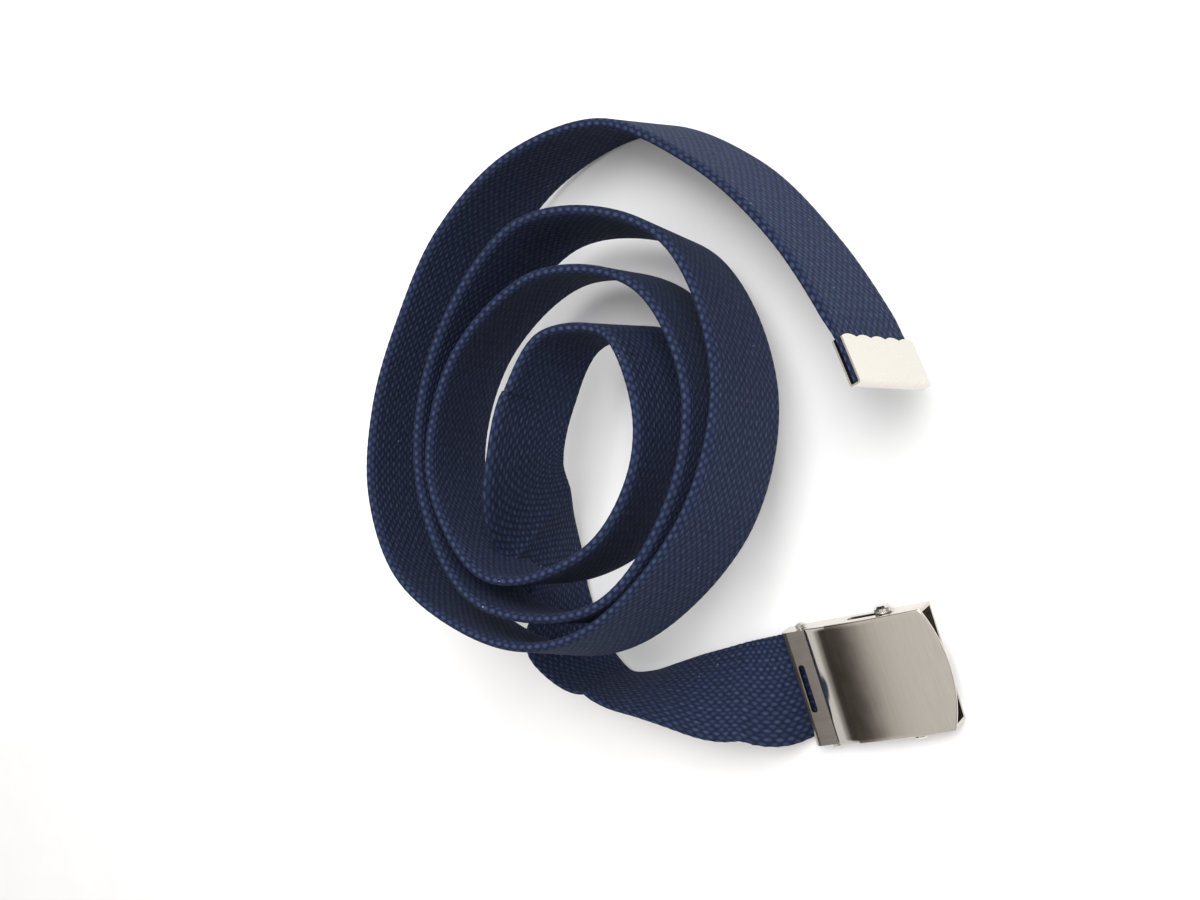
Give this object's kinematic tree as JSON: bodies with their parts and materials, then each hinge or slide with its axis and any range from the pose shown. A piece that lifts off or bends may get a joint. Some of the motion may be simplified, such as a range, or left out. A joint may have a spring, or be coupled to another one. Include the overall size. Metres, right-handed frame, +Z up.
{
  "type": "web belt",
  "caption": "Woven canvas web belt coiled on its edge, with a box slide buckle lying at its inner end and a folded metal tip on its free end.",
  "frame": {"origin": "middle of the plan outline, on the surface the belt rests on", "axes": "+Z up from the surface, +X along the buckle from its bar to its open end within 3 degrees, +Y across it towards the coil"},
  "size_m": [0.1608, 0.1952, 0.0738],
  "materials": {
    "webbing": "coarse woven canvas, matt",
    "tip": "polished pale nickel",
    "frame": "plain nickel",
    "face": "brushed nickel, polished edge",
    "steel": "turned steel"
  },
  "bodies": {
    "belt": {"webbing": "webbing", "belt_tip": "tip", "buckle_frame": "frame", "buckle_face": "face", "buckle_clamp": "steel"},
    "roller": {"buckle_roller": "steel"}
  },
  "joints": [
    {"name": "roller_slide", "type": "slide", "parent": "belt", "child": "roller", "axis": [0.999, -0.0436, 0], "range_m": [-0.01, 0]}
  ]
}
